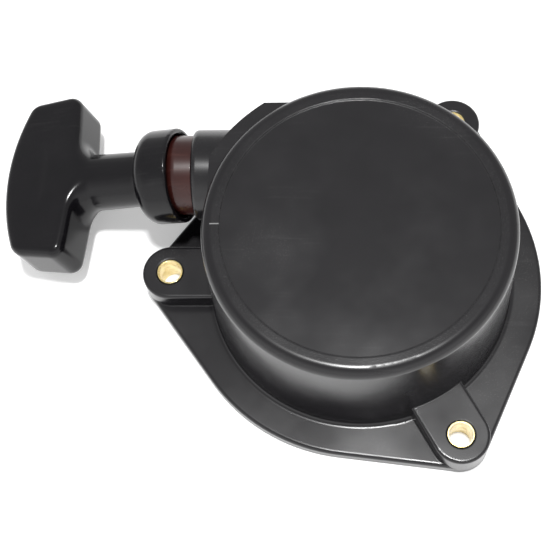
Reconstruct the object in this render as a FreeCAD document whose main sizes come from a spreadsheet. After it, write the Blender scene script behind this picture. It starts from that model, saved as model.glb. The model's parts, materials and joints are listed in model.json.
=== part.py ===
import FreeCAD, Part
import math
import os
import re

import Sketcher

# Recoil starter: a moulded cover with three brass-sleeved ears, a side outlet with a rope
# guide, a T-handle on a rope, and inside it the rope reel, the spiral return spring and
# the two-pawl clutch.
#
# Frame: millimetres, +Z from the engine towards the closed end of the cover. The origin is
# on the reel's axis, in the plane of the mounting face. The handle is pulled along -X.

doc = FreeCAD.newDocument("recoil_starter")

# ---------------------------------------------------------------- driving dimensions

SIZES = [
    ("flange_radius", 50.0, "flange outline between the ears"),
    ("flange_thickness", 3.7, "plate thickness"),
    ("ear_pitch_radius", 52.6, "reel axis to sleeve axis"),
    ("ear_radius", 7.7, "round end of each ear"),
    ("ear_height", 10.0, "mounting face to the top of an ear"),
    ("ear_count", 3, "ears, equally spaced from -X"),
    ("sleeve_outer_radius", 3.5, "brass sleeve, outside"),
    ("sleeve_bore_radius", 3.15, "brass sleeve, clearance hole for an M6 screw"),
    ("sleeve_proud", 0.1, "sleeve above the top of its ear"),
    ("sleeve_lead", 0.4, "chamfer round the sleeve in the top of the ear"),
    ("cover_base_radius", 41.3, "drafted wall where it meets the flange"),
    ("cover_top_radius", 40.0, "drafted wall at the closed end"),
    ("cover_height", 42.8, "mounting face to the closed end"),
    ("cover_wall", 2.2, "wall of the cover"),
    ("roof_thickness", 2.5, "closed end"),
    ("top_round", 2.8, "rounding of the closed end's edge"),
    ("foot_round", 1.3, "rounding between wall and flange"),
    ("flange_round", 0.9, "rounding of the flange's upper edge"),
    ("ear_round", 0.8, "rounding of the upper edge of each ear"),
    ("top_recess_radius", 35.2, "shallow recess in the closed end"),
    ("top_recess_depth", 0.35, "its depth"),
    ("shoulder_radius", 44.0, "thick stretch of wall round the rope outlet"),
    ("shoulder_top", 39.7, "height of that stretch"),
    ("shoulder_side", 39.0, "its flat side, left of the axis"),
    ("shoulder_back", 36.2, "its flat back, behind the axis"),
    ("rope_height", 22.0, "plane of the rope above the mounting face"),
    ("outlet_offset", 23.7, "rope outlet behind the reel axis"),
    ("outlet_radius", 12.4, "round boss of the outlet"),
    ("outlet_end", 45.0, "end face of the boss, left of the axis"),
    ("outlet_round", 1.4, "rounding of that end"),
    ("guide_head_radius", 10.9, "rope guide, outside the boss"),
    ("guide_head_length", 7.0, "rope guide, length outside the boss"),
    ("guide_head_round", 2.6, "rounding of its end"),
    ("guide_stem_radius", 7.6, "rope guide, inside the boss"),
    ("guide_stem_length", 12.0, "rope guide, length inside the boss"),
    ("guide_bore_radius", 2.7, "hole for the rope"),
    ("guide_mouth_radius", 5.2, "flared mouth of that hole"),
    ("guide_mouth_depth", 4.0, "depth of each flare"),
    ("rope_diameter", 3.5, "braided rope"),
    ("rope_gap", 0.1, "between neighbouring turns"),
    ("coil_outer_radius", 30.0, "middle of the outermost turn"),
    ("coil_turns", 5, "whole turns on the reel"),
    ("coil_exit_bend", 4.0, "bend of the rope's inner end through the reel"),
    ("groove_clearance", 0.3, "rope to the reel's flange, each side"),
    ("reel_flange_radius", 34.0, "reel flanges"),
    ("reel_flange_thickness", 2.4, "each reel flange"),
    ("reel_hub_radius", 8.5, "hub inside the spring"),
    ("reel_hub_top", 38.6, "top of that hub"),
    ("carrier_radius", 19.0, "pawl carrier on the engine side of the reel"),
    ("carrier_face", 12.5, "its face above the mounting face"),
    ("running_clearance", 0.05, "radial clearance of every turning fit"),
    ("post_radius", 5.0, "fixed post in the middle of the cover"),
    ("post_end", 6.2, "end of the post above the mounting face"),
    ("bush_wall", 1.0, "steel bush on the post"),
    ("bush_bottom", 8.9, "lower end of the bush"),
    ("plate_bottom", 27.4, "spring plate above the mounting face"),
    ("sheet_thickness", 1.0, "spring plate and spring case"),
    ("case_radius", 33.0, "spring case, outside"),
    ("strip_thickness", 0.5, "spring strip"),
    ("strip_width", 9.0, "spring strip"),
    ("strip_turns", 9, "whole turns of the spring"),
    ("strip_end_gap", 0.4, "spring to its case and hub"),
    ("pawl_pivot_radius", 14.0, "reel axis to pawl pin"),
    ("pin_radius", 2.0, "pawl pin"),
    ("pin_depth", 4.0, "length of a pin in the carrier"),
    ("pawl_root_radius", 3.8, "pawl round its pin"),
    ("pawl_tip_radius", 1.3, "rounding of a pawl's tip"),
    ("pawl_length", 11.8, "pin to tip"),
    ("pawl_rest_angle", 95.0, "direction of a pawl at rest, from its own radius"),
    ("pawl_travel", 37.0, "how far a pawl swings out"),
    ("pawl_thickness", 3.3, "pawl"),
    ("axial_gap", 0.2, "between stacked turning parts"),
    ("stud_distance", 7.0, "pawl pin to its drive stud"),
    ("stud_radius", 1.4, "drive stud"),
    ("guide_travel", 20.0, "how far the ratchet guide turns on the reel"),
    ("slot_clearance", 0.25, "drive stud to its slot"),
    ("clutch_plate_radius", 10.0, "middle of the ratchet guide"),
    ("clutch_plate_thickness", 1.0, "ratchet guide"),
    ("clutch_arm_margin", 2.0, "metal round each slot"),
    ("wire_radius", 0.5, "friction spring wire"),
    ("friction_ring_radius", 7.4, "friction spring, middle of its wire"),
    ("friction_bend", 1.2, "bend of each end of that wire"),
    ("friction_tail_gap", 3.0, "between the two ends"),
    ("friction_tail", 2.6, "straight part of each end"),
    ("pawl_wire_radius", 0.3, "pawl spring wire"),
    ("washer_radius", 8.6, "screw washer"),
    ("screw_shank_radius", 2.9, "centre screw"),
    ("screw_depth", 16.0, "centre screw in the post"),
    ("screw_head_radius", 5.2, "centre screw head"),
    ("screw_head_height", 2.8, "centre screw head"),
    ("screw_slot_width", 1.2, "screwdriver slot"),
    ("screw_slot_depth", 1.4, "screwdriver slot"),
    ("knot_radius", 3.6, "a tied knot"),
    ("knot_room", 0.4, "air round a knot"),
    ("handle_gap", 0.35, "handle's lowest edge to the boss, at rest"),
    ("handle_droop", 14.0, "how far the handle hangs down at rest"),
    ("handle_yaw", 2.2, "how far it leans to the back"),
    ("cup_radius", 13.0, "mouth of the handle"),
    ("cup_inner_radius", 11.6, "inside of that mouth"),
    ("cup_depth", 8.6, "depth of the mouth"),
    ("cup_length", 10.7, "mouth to neck"),
    ("cup_round", 4.0, "rounding of the mouth's back"),
    ("neck_radius", 7.6, "neck of the handle"),
    ("grip_start", 31.0, "mouth to the near side of the grip"),
    ("grip_end", 46.0, "mouth to the far side at the grip's ends"),
    ("grip_crown", 51.2, "mouth to the far side in the middle"),
    ("grip_near_half", 25.0, "half the grip's near side"),
    ("grip_far_half", 23.4, "half the grip's far side"),
    ("grip_height", 16.2, "grip, across the pull"),
    ("grip_round", 2.6, "rounding of the grip's edges"),
    ("rope_hole_radius", 2.1, "rope hole in the handle"),
    ("knot_seat", 39.0, "mouth to the floor of the knot's pocket"),
    ("knot_washer_thickness", 1.0, "washer under the handle's knot"),
]

sheet = doc.addObject("Spreadsheet::Sheet", "Sizes")
for row, (alias, value, note) in enumerate(SIZES, start=1):
    sheet.set(f"A{row}", alias)
    sheet.set(f"B{row}", str(value))
    sheet.set(f"C{row}", note)
    sheet.setAlias(f"B{row}", alias)
doc.recompute()


def size(alias):
    """One driving dimension, read from the sheet."""
    return float(getattr(sheet, alias))


def formula(text):
    """An expression in which every name with an underscore is a cell of the sheet."""
    return re.sub(r"\b([a-z]+(?:_[a-z]+)+)\b", r"Sizes.\1", text)


def bind(item, **expressions):
    """Bind properties to expressions; x, y and z stand for the Placement's base."""
    for name, text in expressions.items():
        path = f"Placement.Base.{name}" if name in "xyz" else name
        item.setExpression(path, formula(text))
    return item


# ---------------------------------------------------------------- small builders

ALONG_X = FreeCAD.Rotation(FreeCAD.Vector(0, 0, 1), FreeCAD.Vector(1, 0, 0))


def cylinder(name, radius, height, x="0", y="0", z="0", along_x=False):
    item = doc.addObject("Part::Cylinder", name)
    if along_x:
        item.Placement.Rotation = ALONG_X
    return bind(item, Radius=radius, Height=height, x=x, y=y, z=z)


def cone(name, start_radius, end_radius, height, x="0", y="0", z="0", along_x=False):
    item = doc.addObject("Part::Cone", name)
    if along_x:
        item.Placement.Rotation = ALONG_X
    return bind(item, Radius1=start_radius, Radius2=end_radius, Height=height, x=x, y=y, z=z)


def box(name, length, width, height, x="0", y="0", z="0"):
    item = doc.addObject("Part::Box", name)
    return bind(item, Length=length, Width=width, Height=height, x=x, y=y, z=z)


def fuse(name, *items):
    item = doc.addObject("Part::MultiFuse", name)
    item.Shapes = list(items)
    return item


def common(name, *items):
    item = doc.addObject("Part::MultiCommon", name)
    item.Shapes = list(items)
    return item


def cut(name, base, *tools):
    item = doc.addObject("Part::Cut", name)
    item.Base = base
    item.Tool = tools[0] if len(tools) == 1 else fuse(name + "_tools", *tools)
    return item


def feature(name, shape):
    """A sub-part whose outline or path neither a sketch nor a primitive gives."""
    item = doc.addObject("Part::Feature", name)
    item.Shape = shape
    return item


def tube(name, outer_radius, inner_radius, height, **place):
    """A ring or tube: one cylinder cut by a longer one on the same axis."""
    outer = cylinder(name + "_outside", outer_radius, height, **place)
    inner = cylinder(name + "_inside", inner_radius, height, **place)
    return cut(name, outer, inner)


def new_body(name):
    return doc.addObject("PartDesign::Body", name)


def sketch_on(body, name, role):
    """A sketch on one of the body's own origin planes."""
    plane = next(item for item in body.Origin.OriginFeatures if item.Role == role)
    sketch = body.newObject("Sketcher::SketchObject", name)
    sketch.AttachmentSupport = (plane, [""])
    sketch.MapMode = "FlatFace"
    return sketch


def add_polygon(sketch, corners):
    """A closed outline whose corners are pairs of expressions, each one constrained."""
    texts = [(formula(x), formula(y)) for x, y in corners]
    points = []
    for x, y in texts:
        at_x, at_y = (float(sheet.evalExpression(text)) for text in (x, y))
        points.append(FreeCAD.Vector(at_x, at_y, 0))
    count = len(points)
    for index in range(count):
        sketch.addGeometry(Part.LineSegment(points[index], points[(index + 1) % count]), False)
    for index in range(count):
        sketch.addConstraint(
            Sketcher.Constraint("Coincident", index, 2, (index + 1) % count, 1)
        )
    for index, point in enumerate(points):
        for kind, value, text, axis in (
            ("DistanceX", point.x, texts[index][0], -2),
            ("DistanceY", point.y, texts[index][1], -1),
        ):
            if text == "0":
                sketch.addConstraint(Sketcher.Constraint("PointOnObject", index, 1, axis))
                continue
            place = sketch.addConstraint(
                Sketcher.Constraint(kind, -1, 1, index, 1, value)
            )
            sketch.setExpression(f"Constraints[{place}]", text)
    return sketch


def turned_body(name, corners, plane="XZ_Plane", axis="V_Axis"):
    """A body turned from one polygon; corners are (radius, height) on XZ_Plane."""
    body = new_body(name)
    sketch = add_polygon(sketch_on(body, name + "_profile", plane), corners)
    turned = body.newObject("PartDesign::Revolution", name + "_turned")
    turned.Profile = sketch
    turned.ReferenceAxis = (sketch, [axis])
    turned.Angle = 360
    sketch.Visibility = False
    doc.recompute()
    return body


def round_edges(body, name, radius, chosen):
    """Fillet the edges of the body's tip for which chosen(edge) is true."""
    base = body.Tip
    names = [
        f"Edge{number}"
        for number, edge in enumerate(base.Shape.Edges, start=1)
        if chosen(edge)
    ]
    if not names:
        raise ValueError(f"{name}: no edge to round")
    fillet = body.newObject("PartDesign::Fillet", name)
    fillet.Base = (base, names)
    fillet.setExpression("Radius", formula(radius))
    doc.recompute()
    return fillet


def is_ring(edge, radius, height, along=2):
    """True for a full circle of this radius whose middle is at this height."""
    if not isinstance(edge.Curve, Part.Circle):
        return False
    middle = edge.Curve.Center[along]
    return abs(edge.Curve.Radius - radius) < 1e-4 and abs(middle - height) < 1e-4


def polar(radius, degrees, z=0.0):
    angle = math.radians(degrees)
    return FreeCAD.Vector(radius * math.cos(angle), radius * math.sin(angle), z)


def link_face(start, start_radius, end, end_radius):
    """A flat outline of two round ends and the two straight sides that touch both."""
    along = end - start
    distance = along.Length
    along.normalize()
    across = FreeCAD.Vector(-along.y, along.x, 0)
    lean = math.acos((start_radius - end_radius) / distance)

    def at(middle, radius, side):
        return middle + along * (radius * math.cos(lean)) + across * (side * radius * math.sin(lean))

    near, far = at(start, start_radius, 1), at(end, end_radius, 1)
    far_low, near_low = at(end, end_radius, -1), at(start, start_radius, -1)
    edges = [
        Part.LineSegment(near, far).toShape(),
        Part.Arc(far, end + along * end_radius, far_low).toShape(),
        Part.LineSegment(far_low, near_low).toShape(),
        Part.Arc(near_low, start - along * start_radius, near).toShape(),
    ]
    return Part.Face(Part.Wire(edges))


def link(start, start_radius, end, end_radius, bottom, thickness):
    """A plate with that outline."""
    face = link_face(start, start_radius, end, end_radius)
    face.translate(FreeCAD.Vector(0, 0, bottom))
    return face.extrude(FreeCAD.Vector(0, 0, thickness))


def round_top(shape, radius):
    """The shape with every edge of its highest face rounded."""
    top = shape.BoundBox.ZMax
    edges = [edge for edge in shape.Edges if edge.BoundBox.ZMin > top - 1e-4]
    return shape.makeFillet(radius, edges)


def half_turns(outer_radius, pitch, count, angle):
    """A spiral as half circles, outside first: (middle, radius, start angle) of each.

    Every half circle touches the next one, because their middles alternate between the
    axis and half a pitch beside it.
    """
    turns = []
    for number in range(count):
        odd = number % 2
        middle = polar(-pitch / 2 if odd else 0.0, angle)
        turns.append((middle, outer_radius - number * pitch / 2, angle - 180 * odd))
    return turns


def half_circle(middle, radius, start_angle):
    """The clockwise half circle that begins at this angle."""
    return Part.Arc(
        middle + polar(radius, start_angle),
        middle + polar(radius, start_angle - 90),
        middle + polar(radius, start_angle - 180),
    ).toShape()


def sweep_round(edges, radius):
    """A round section swept along joined edges."""
    path = Part.Wire(edges)
    first = edges[0]
    start = first.valueAt(first.FirstParameter)
    direction = first.tangentAt(first.FirstParameter)
    section = Part.Wire(Part.makeCircle(radius, start, direction))
    return path.makePipeShell([section], True, True)


# ---------------------------------------------------------------- cover

ear_step = 360 / size("ear_count")
ear_angles = [180 + ear_step * number for number in range(int(size("ear_count")))]
axis_point = FreeCAD.Vector(0, 0, 0)


def make_housing():
    blank = turned_body(
        "cover_blank",
        [
            ("0", "0"),
            ("flange_radius - foot_round", "0"),
            ("flange_radius - foot_round", "flange_thickness"),
            ("cover_base_radius", "flange_thickness"),
            ("cover_top_radius", "cover_height"),
            ("top_recess_radius", "cover_height"),
            ("top_recess_radius", "cover_height - top_recess_depth"),
            ("0", "cover_height - top_recess_depth"),
        ],
    )
    round_edges(
        blank,
        "cover_top_round",
        "top_round",
        lambda edge: is_ring(edge, size("cover_top_radius"), size("cover_height")),
    )
    round_edges(
        blank,
        "cover_foot_round",
        "foot_round",
        lambda edge: is_ring(edge, size("cover_base_radius"), size("flange_thickness")),
    )
    ears = []
    outlines = []
    for number, angle in enumerate(ear_angles, start=1):
        centre = polar(size("ear_pitch_radius"), angle)
        outlines.append(
            link_face(axis_point, size("flange_radius"), centre, size("ear_radius"))
        )
        pad = link(
            polar(size("cover_base_radius") - size("cover_wall"), angle),
            size("ear_radius"),
            centre,
            size("ear_radius"),
            0,
            size("ear_height"),
        )
        ears.append(feature(f"ear_pad_{number}", round_top(pad, size("ear_round"))))
    outline = outlines[0].fuse(outlines[1:]).removeSplitter()
    plate = outline.Faces[0].extrude(FreeCAD.Vector(0, 0, size("flange_thickness")))
    flange = feature("flange_plate", round_top(plate, size("flange_round")))
    boss = Part.makeCylinder(
        size("outlet_radius"),
        size("outlet_end"),
        FreeCAD.Vector(0, size("outlet_offset"), size("rope_height")),
        FreeCAD.Vector(-1, 0, 0),
    )
    end_ring = [edge for edge in boss.Edges if edge.BoundBox.XMax < 1e-4 - size("outlet_end")]
    outlet = feature("outlet_boss", boss.makeFillet(size("outlet_round"), end_ring))
    shoulder = common(
        "outlet_shoulder",
        cylinder("shoulder_round", "shoulder_radius", "shoulder_top"),
        box(
            "shoulder_block",
            "shoulder_side",
            "shoulder_back",
            "shoulder_top",
            x="-shoulder_side",
        ),
    )
    room = cone(
        "cover_room",
        "cover_base_radius - cover_wall",
        "cover_top_radius - cover_wall",
        "cover_height - roof_thickness",
    )
    post = cylinder(
        "cover_post",
        "post_radius",
        "cover_height - roof_thickness - post_end",
        z="post_end",
    )
    guide_bore = cylinder(
        "outlet_bore",
        "guide_stem_radius",
        "outlet_end",
        x="-outlet_end",
        y="outlet_offset",
        z="rope_height",
        along_x=True,
    )
    sleeve_holes = []
    for number, angle in enumerate(ear_angles, start=1):
        place = {
            "x": f"ear_pitch_radius * cos({angle})",
            "y": f"ear_pitch_radius * sin({angle})",
        }
        sleeve_holes += [
            cylinder(f"sleeve_hole_{number}", "sleeve_outer_radius", "ear_height", **place),
            cone(
                f"sleeve_lead_{number}",
                "sleeve_outer_radius",
                "sleeve_outer_radius + sleeve_lead",
                "sleeve_lead",
                z="ear_height - sleeve_lead",
                **place,
            ),
        ]
    screw_hole = cylinder("post_hole", "screw_shank_radius", "screw_depth", z="post_end")
    shell = cut("cover_shell", fuse("cover_solid", blank, flange, *ears, outlet, shoulder), room, guide_bore)
    return cut("housing", fuse("cover_and_post", shell, post), screw_hole, *sleeve_holes)


def make_sleeves():
    """The three brass sleeves that take the clamping load of the mounting screws."""
    sleeves = []
    for number, angle in enumerate(ear_angles, start=1):
        sleeves.append(
            tube(
                f"ear_sleeve_{number}",
                "sleeve_outer_radius",
                "sleeve_bore_radius",
                "ear_height + sleeve_proud",
                x=f"ear_pitch_radius * cos({angle})",
                y=f"ear_pitch_radius * sin({angle})",
            )
        )
    return sleeves


def make_rope_guide():
    """A flanged bush: the stem sits in the outlet, the head stands out of it."""
    place = {"y": "outlet_offset", "z": "rope_height", "along_x": True}
    head = turned_body(
        "guide_head",
        [
            ("0", "0"),
            ("0", "guide_head_radius"),
            ("-guide_head_length", "guide_head_radius"),
            ("-guide_head_length", "0"),
        ],
        "XY_Plane",
        "H_Axis",
    )
    round_edges(
        head,
        "guide_head_rounding",
        "guide_head_round",
        lambda edge: is_ring(
            edge, size("guide_head_radius"), -size("guide_head_length"), along=0
        ),
    )
    bind(head, x="-outlet_end", y="outlet_offset", z="rope_height")
    stem = cylinder(
        "guide_stem", "guide_stem_radius", "guide_stem_length", x="-outlet_end", **place
    )
    whole_length = "guide_head_length + guide_stem_length"
    outer_end = "-outlet_end - guide_head_length"
    bore = cylinder("guide_bore", "guide_bore_radius", whole_length, x=outer_end, **place)
    outer_mouth = cone(
        "guide_outer_mouth",
        "guide_mouth_radius",
        "guide_bore_radius",
        "guide_mouth_depth",
        x=outer_end,
        **place,
    )
    inner_mouth = cone(
        "guide_inner_mouth",
        "guide_bore_radius",
        "guide_mouth_radius",
        "guide_mouth_depth",
        x="guide_stem_length - outlet_end - guide_mouth_depth",
        **place,
    )
    return cut("rope_guide", fuse("guide_solid", head, stem), bore, outer_mouth, inner_mouth)


# ---------------------------------------------------------------- reel, rope and spring

rope_pitch = size("rope_diameter") + size("rope_gap")
half_groove = "(rope_diameter / 2 + groove_clearance)"
coil_inner = "(coil_outer_radius - coil_turns * (rope_diameter + rope_gap))"

# The rope leaves the coil where its straight run to the guide touches the outermost turn.
guide_entry = FreeCAD.Vector(
    size("guide_stem_length") - size("outlet_end"), size("outlet_offset"), size("rope_height")
)
entry_distance = math.hypot(guide_entry.x, guide_entry.y)
exit_angle = math.degrees(
    math.atan2(guide_entry.y, guide_entry.x)
    - math.acos(size("coil_outer_radius") / entry_distance)
)
coil_exit = polar(size("coil_outer_radius"), exit_angle, size("rope_height"))

# The wound rope ends one small bend past its last half turn, at this radius and angle.
coil_end_radius = size("coil_outer_radius") - size("coil_turns") * rope_pitch
anchor = (
    polar(coil_end_radius, exit_angle)
    + polar(size("coil_exit_bend"), exit_angle - 90)
)
knot_height = size("carrier_face") + size("knot_radius") + size("axial_gap")
knot_top = knot_height + size("knot_radius")


def make_reel():
    """Two flanges round the rope, the pawl carrier below and the spring hub above."""
    lower = f"(rope_height - {half_groove})"
    upper = f"(rope_height + {half_groove})"
    blank = turned_body(
        "reel_blank",
        [
            ("post_radius + bush_wall + running_clearance", "carrier_face"),
            ("carrier_radius", "carrier_face"),
            ("carrier_radius", f"{lower} - reel_flange_thickness"),
            ("reel_flange_radius", f"{lower} - reel_flange_thickness"),
            ("reel_flange_radius", lower),
            (f"{coil_inner} - rope_diameter / 2 - rope_gap", lower),
            (f"{coil_inner} - rope_diameter / 2 - rope_gap", upper),
            ("reel_flange_radius", upper),
            ("reel_flange_radius", f"{upper} + reel_flange_thickness"),
            ("reel_hub_radius", f"{upper} + reel_flange_thickness"),
            ("reel_hub_radius", "reel_hub_top"),
            ("post_radius + bush_wall + running_clearance", "reel_hub_top"),
        ],
    )
    anchor_place = {"x": str(anchor.x), "y": str(anchor.y)}
    tools = [
        cylinder(
            "knot_pocket",
            "knot_radius + knot_room",
            "2 * knot_radius + knot_room",
            z="carrier_face",
            **anchor_place,
        ),
        cylinder(
            "anchor_hole",
            "rope_diameter / 2 + knot_room",
            f"{half_groove} + reel_flange_thickness + knot_radius",
            z=f"{lower} - reel_flange_thickness",
            **anchor_place,
        ),
    ]
    for number, angle in enumerate((0, 180), start=1):
        place = {
            "x": f"pawl_pivot_radius * cos({angle})",
            "y": f"pawl_pivot_radius * sin({angle})",
            "z": "carrier_face",
        }
        tools.append(cylinder(f"pin_hole_{number}", "pin_radius", "pin_depth", **place))
        tools.append(
            cylinder(
                f"pawl_spring_room_{number}",
                "pin_radius + 5 * pawl_wire_radius",
                "5 * pawl_wire_radius",
                **place,
            )
        )
    return cut("reel", blank, *tools)


def make_rope_coil():
    """The wound rope: half circles inwards, then a bend down through the lower flange."""
    turns = half_turns(
        size("coil_outer_radius"), rope_pitch, 2 * int(size("coil_turns")), exit_angle
    )
    edges = []
    for middle, radius, start_angle in turns:
        edges.append(half_circle(middle, radius, start_angle))
    bend = size("coil_exit_bend")
    last = polar(coil_end_radius, exit_angle)
    inward = polar(1, exit_angle - 90)
    down = FreeCAD.Vector(0, 0, -1)
    slope = math.radians(45)
    edges.append(
        Part.Arc(
            last,
            last + inward * (bend * math.sin(slope)) + down * (bend * (1 - math.cos(slope))),
            last + inward * bend + down * bend,
        ).toShape()
    )
    rope_end = last + inward * bend
    edges.append(
        Part.LineSegment(
            rope_end + down * bend,
            FreeCAD.Vector(rope_end.x, rope_end.y, knot_top - size("rope_height")),
        ).toShape()
    )
    shape = sweep_round(edges, size("rope_diameter") / 2)
    length = sum(edge.Length for edge in edges)
    print(f"wound rope: {length:.1f} mm, tightest turn {coil_end_radius:.1f} mm")
    item = feature("rope_coil", shape)
    item.Placement.Base = FreeCAD.Vector(0, 0, size("rope_height"))
    return item, length


def make_knot(name, centre):
    ball = doc.addObject("Part::Sphere", name)
    bind(ball, Radius="knot_radius")
    ball.Placement.Base = centre
    return ball


def make_spring():
    """The spiral return spring, as one flat strip wound in half circles."""
    outer = (
        size("case_radius") - size("sheet_thickness") - size("strip_end_gap")
        - size("strip_thickness") / 2
    )
    inner = size("reel_hub_radius") + size("strip_end_gap") + size("strip_thickness") / 2
    turns = int(size("strip_turns"))
    pitch = (outer - inner) / turns
    half = size("strip_thickness") / 2
    outside, inside = [], []
    for middle, radius, start_angle in half_turns(outer, pitch, 2 * turns, 0):
        outside.append(half_circle(middle, radius + half, start_angle))
        inside.append(half_circle(middle, radius - half, start_angle))
    ends = [
        Part.LineSegment(polar(outer + half, 0), polar(outer - half, 0)).toShape(),
        Part.LineSegment(polar(inner + half, 0), polar(inner - half, 0)).toShape(),
    ]
    wire = Part.Wire(Part.__sortEdges__(outside + inside + ends))
    strip = Part.Face(wire).extrude(FreeCAD.Vector(0, 0, size("strip_width")))
    item = feature("recoil_spring", strip)
    item.Placement.Base = FreeCAD.Vector(
        0, 0, size("plate_bottom") + size("sheet_thickness") + size("strip_end_gap")
    )
    return item


def make_spring_case():
    return turned_body(
        "spring_case",
        [
            ("post_radius + axial_gap", "cover_height - roof_thickness - sheet_thickness"),
            ("case_radius - sheet_thickness", "cover_height - roof_thickness - sheet_thickness"),
            ("case_radius - sheet_thickness", "plate_bottom + sheet_thickness"),
            ("case_radius", "plate_bottom + sheet_thickness"),
            ("case_radius", "cover_height - roof_thickness"),
            ("post_radius + axial_gap", "cover_height - roof_thickness"),
        ],
    )


def make_spring_plate():
    return tube(
        "spring_plate",
        "case_radius",
        "reel_hub_radius + strip_end_gap",
        "sheet_thickness",
        z="plate_bottom",
    )


def make_reel_bush():
    return tube(
        "reel_bush",
        "post_radius + bush_wall",
        "post_radius",
        "reel_hub_top - bush_bottom",
        z="bush_bottom",
    )


# ---------------------------------------------------------------- pawl clutch

clutch_top = "(carrier_face - 2 * axial_gap - pawl_thickness)"
clutch_top_height = (
    size("carrier_face") - 2 * size("axial_gap") - size("pawl_thickness")
)
pawl_bottom = clutch_top_height + size("axial_gap")


def make_pawl(name, angle):
    """A pawl on its pin, with the drive stud that runs in the ratchet guide's slot."""
    pivot = polar(size("pawl_pivot_radius"), angle)
    direction = angle + size("pawl_rest_angle")
    blade = link(
        pivot,
        size("pawl_root_radius"),
        pivot + polar(size("pawl_length") - size("pawl_tip_radius"), direction),
        size("pawl_tip_radius"),
        pawl_bottom,
        size("pawl_thickness"),
    )
    stud_length = size("axial_gap") + size("clutch_plate_thickness") + size("axial_gap")
    stud_at = pivot + polar(size("stud_distance"), direction, pawl_bottom - stud_length)
    stud = Part.makeCylinder(size("stud_radius"), stud_length, stud_at)
    hole = Part.makeCylinder(
        size("pin_radius") + size("running_clearance"),
        size("pawl_thickness"),
        pivot + FreeCAD.Vector(0, 0, pawl_bottom),
    )
    return feature(name, blade.fuse(stud).cut(hole).removeSplitter())


def make_pin(name, angle):
    return cylinder(
        name,
        "pin_radius",
        "pawl_thickness + axial_gap + pin_depth",
        x=f"pawl_pivot_radius * cos({angle})",
        y=f"pawl_pivot_radius * sin({angle})",
        z=f"{clutch_top} + axial_gap",
    )


def make_pawl_spring(name, angle):
    """Two touching turns of wire round the pin, sunk in the carrier's face."""
    rings = []
    for turn in (1, 2):
        ring = doc.addObject("Part::Torus", f"{name}_turn_{turn}")
        bind(
            ring,
            Radius1="pin_radius + 2 * pawl_wire_radius",
            Radius2="pawl_wire_radius",
            x=f"pawl_pivot_radius * cos({angle})",
            y=f"pawl_pivot_radius * sin({angle})",
            z=f"carrier_face + {turn} * 1.6 * pawl_wire_radius",
        )
        rings.append(ring)
    return fuse(name, *rings)


def stud_places(angle):
    """Where a drive stud stands, seen from the ratchet guide, over the guide's travel."""
    places = []
    steps = 8
    for step in range(steps + 1):
        share = step / steps
        pivot = polar(size("pawl_pivot_radius"), angle)
        direction = angle + size("pawl_rest_angle") - share * size("pawl_travel")
        stud = pivot + polar(size("stud_distance"), direction)
        turned = math.degrees(math.atan2(stud.y, stud.x)) + share * size("guide_travel")
        places.append(polar(math.hypot(stud.x, stud.y), turned))
    return places


def make_ratchet_guide():
    """The clutch plate: a disc with two arms, each with a cam slot for a drive stud."""
    bottom = clutch_top_height - size("clutch_plate_thickness")
    thickness = size("clutch_plate_thickness")
    slot_radius = size("stud_radius") + size("slot_clearance")
    arm_radius = slot_radius + size("clutch_arm_margin")
    plate = Part.makeCylinder(
        size("clutch_plate_radius"), thickness, FreeCAD.Vector(0, 0, bottom)
    )
    slots = []
    for angle in (0, 180):
        places = stud_places(angle)
        for start, end in zip(places, places[1:]):
            slots.append(link(start, slot_radius, end, slot_radius, bottom, thickness))
        middle = places[len(places) // 2]
        plate = plate.fuse(
            link(axis_point, size("clutch_plate_radius"), middle, arm_radius, bottom, thickness)
        )
        plate = plate.fuse(
            link(places[0], arm_radius, places[-1], arm_radius, bottom, thickness)
        )
    slots.append(
        Part.makeCylinder(
            size("post_radius") + size("running_clearance"),
            thickness,
            FreeCAD.Vector(0, 0, bottom),
        )
    )
    return feature("ratchet_guide", plate.cut(slots).removeSplitter())


def make_friction_spring():
    """A wire ring left open at one side, where both ends bend out as straight tails."""
    ring = size("friction_ring_radius")
    bend = size("friction_bend")
    height = clutch_top_height - size("clutch_plate_thickness")
    height -= size("wire_radius") + size("axial_gap") / 2
    middle_y = size("friction_tail_gap") / 2 + bend
    middle_x = math.sqrt((ring + bend) ** 2 - middle_y**2)
    opening = math.degrees(math.atan2(middle_y, middle_x))

    def bend_points(side):
        """Start, middle and end of one bend, from the ring outwards."""
        corners = [polar(bend, angle) for angle in (opening + 180, opening / 2 + 225, 270)]
        return [
            FreeCAD.Vector(middle_x + corner.x, side * (middle_y + corner.y), height)
            for corner in corners
        ]

    upper, lower = bend_points(1), bend_points(-1)
    out = FreeCAD.Vector(size("friction_tail"), 0, 0)
    edges = [
        Part.LineSegment(lower[2] + out, lower[2]).toShape(),
        Part.Arc(*reversed(lower)).toShape(),
        Part.Arc(lower[0], FreeCAD.Vector(-ring, 0, height), upper[0]).toShape(),
        Part.Arc(*upper).toShape(),
        Part.LineSegment(upper[2], upper[2] + out).toShape(),
    ]
    return feature("friction_spring", sweep_round(edges, size("wire_radius")))


def make_screw_washer():
    return tube(
        "screw_washer",
        "washer_radius",
        "screw_shank_radius + axial_gap",
        "sheet_thickness",
        z="post_end - sheet_thickness",
    )


def make_centre_screw():
    shank = cylinder(
        "screw_shank",
        "screw_shank_radius",
        "screw_depth + sheet_thickness",
        z="post_end - sheet_thickness",
    )
    head = cylinder(
        "screw_head",
        "screw_head_radius",
        "screw_head_height",
        z="post_end - sheet_thickness - screw_head_height",
    )
    slot = box(
        "screw_slot",
        "2 * screw_head_radius",
        "screw_slot_width",
        "screw_slot_depth",
        x="-screw_head_radius",
        y="-screw_slot_width / 2",
        z="post_end - sheet_thickness - screw_head_height",
    )
    return cut("centre_screw", fuse("screw_solid", shank, head), slot)


# ---------------------------------------------------------------- handle and free rope

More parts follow.
